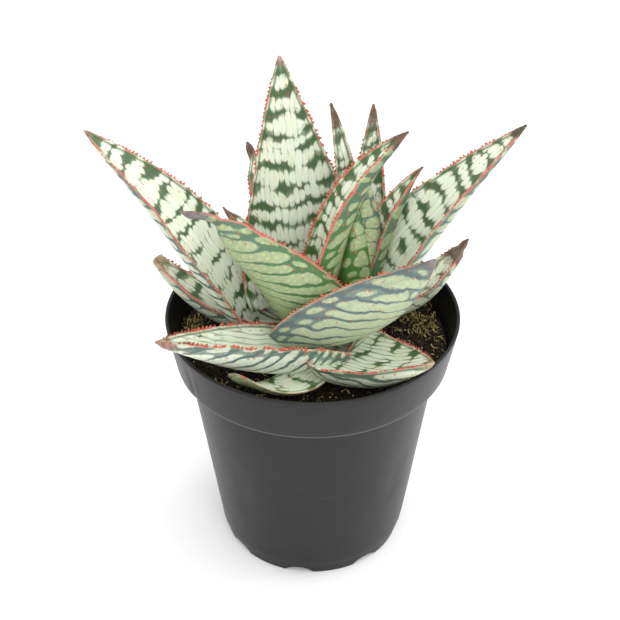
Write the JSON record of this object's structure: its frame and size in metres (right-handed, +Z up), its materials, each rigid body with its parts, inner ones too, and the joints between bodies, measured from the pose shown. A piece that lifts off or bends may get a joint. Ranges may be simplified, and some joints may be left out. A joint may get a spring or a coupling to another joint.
{
  "type": "potted aloe",
  "caption": "Small rosette aloe with thick channelled leaves and toothed edges, growing in soil in a round tapered nursery pot",
  "frame": {"origin": "on the pot's axis, on the surface that the pot stands on", "axes": "+Z is up along the pot's axis, -Y is the front that the picture shows, +X is its right"},
  "size_m": [0.165, 0.12, 0.206],
  "materials": {
    "pot_plastic": "satin",
    "soil": "matte",
    "stem": "matte",
    "leaf": "satin"
  },
  "bodies": {
    "root": {"pot": "pot_plastic", "soil": "soil", "stem": "stem", "leaf_small_front": "leaf", "leaf_low_front_left": "leaf", "leaf_low_front_right": "leaf", "leaf_front_right": "leaf", "leaf_front_left": "leaf", "leaf_left_large": "leaf", "leaf_left_low": "leaf", "leaf_right_large": "leaf", "leaf_right_low": "leaf", "heart_front": "leaf", "heart_centre": "leaf", "heart_right": "leaf", "heart_right_low": "leaf", "heart_back": "leaf", "heart_back_right": "leaf", "leaf_back_tall": "leaf", "leaf_left_inner": "leaf", "leaf_back_left": "leaf", "leaf_back_right": "leaf", "leaf_low_back": "leaf", "leaf_low_back_left": "leaf", "leaf_low_back_right": "leaf"}
  },
  "joints": []
}
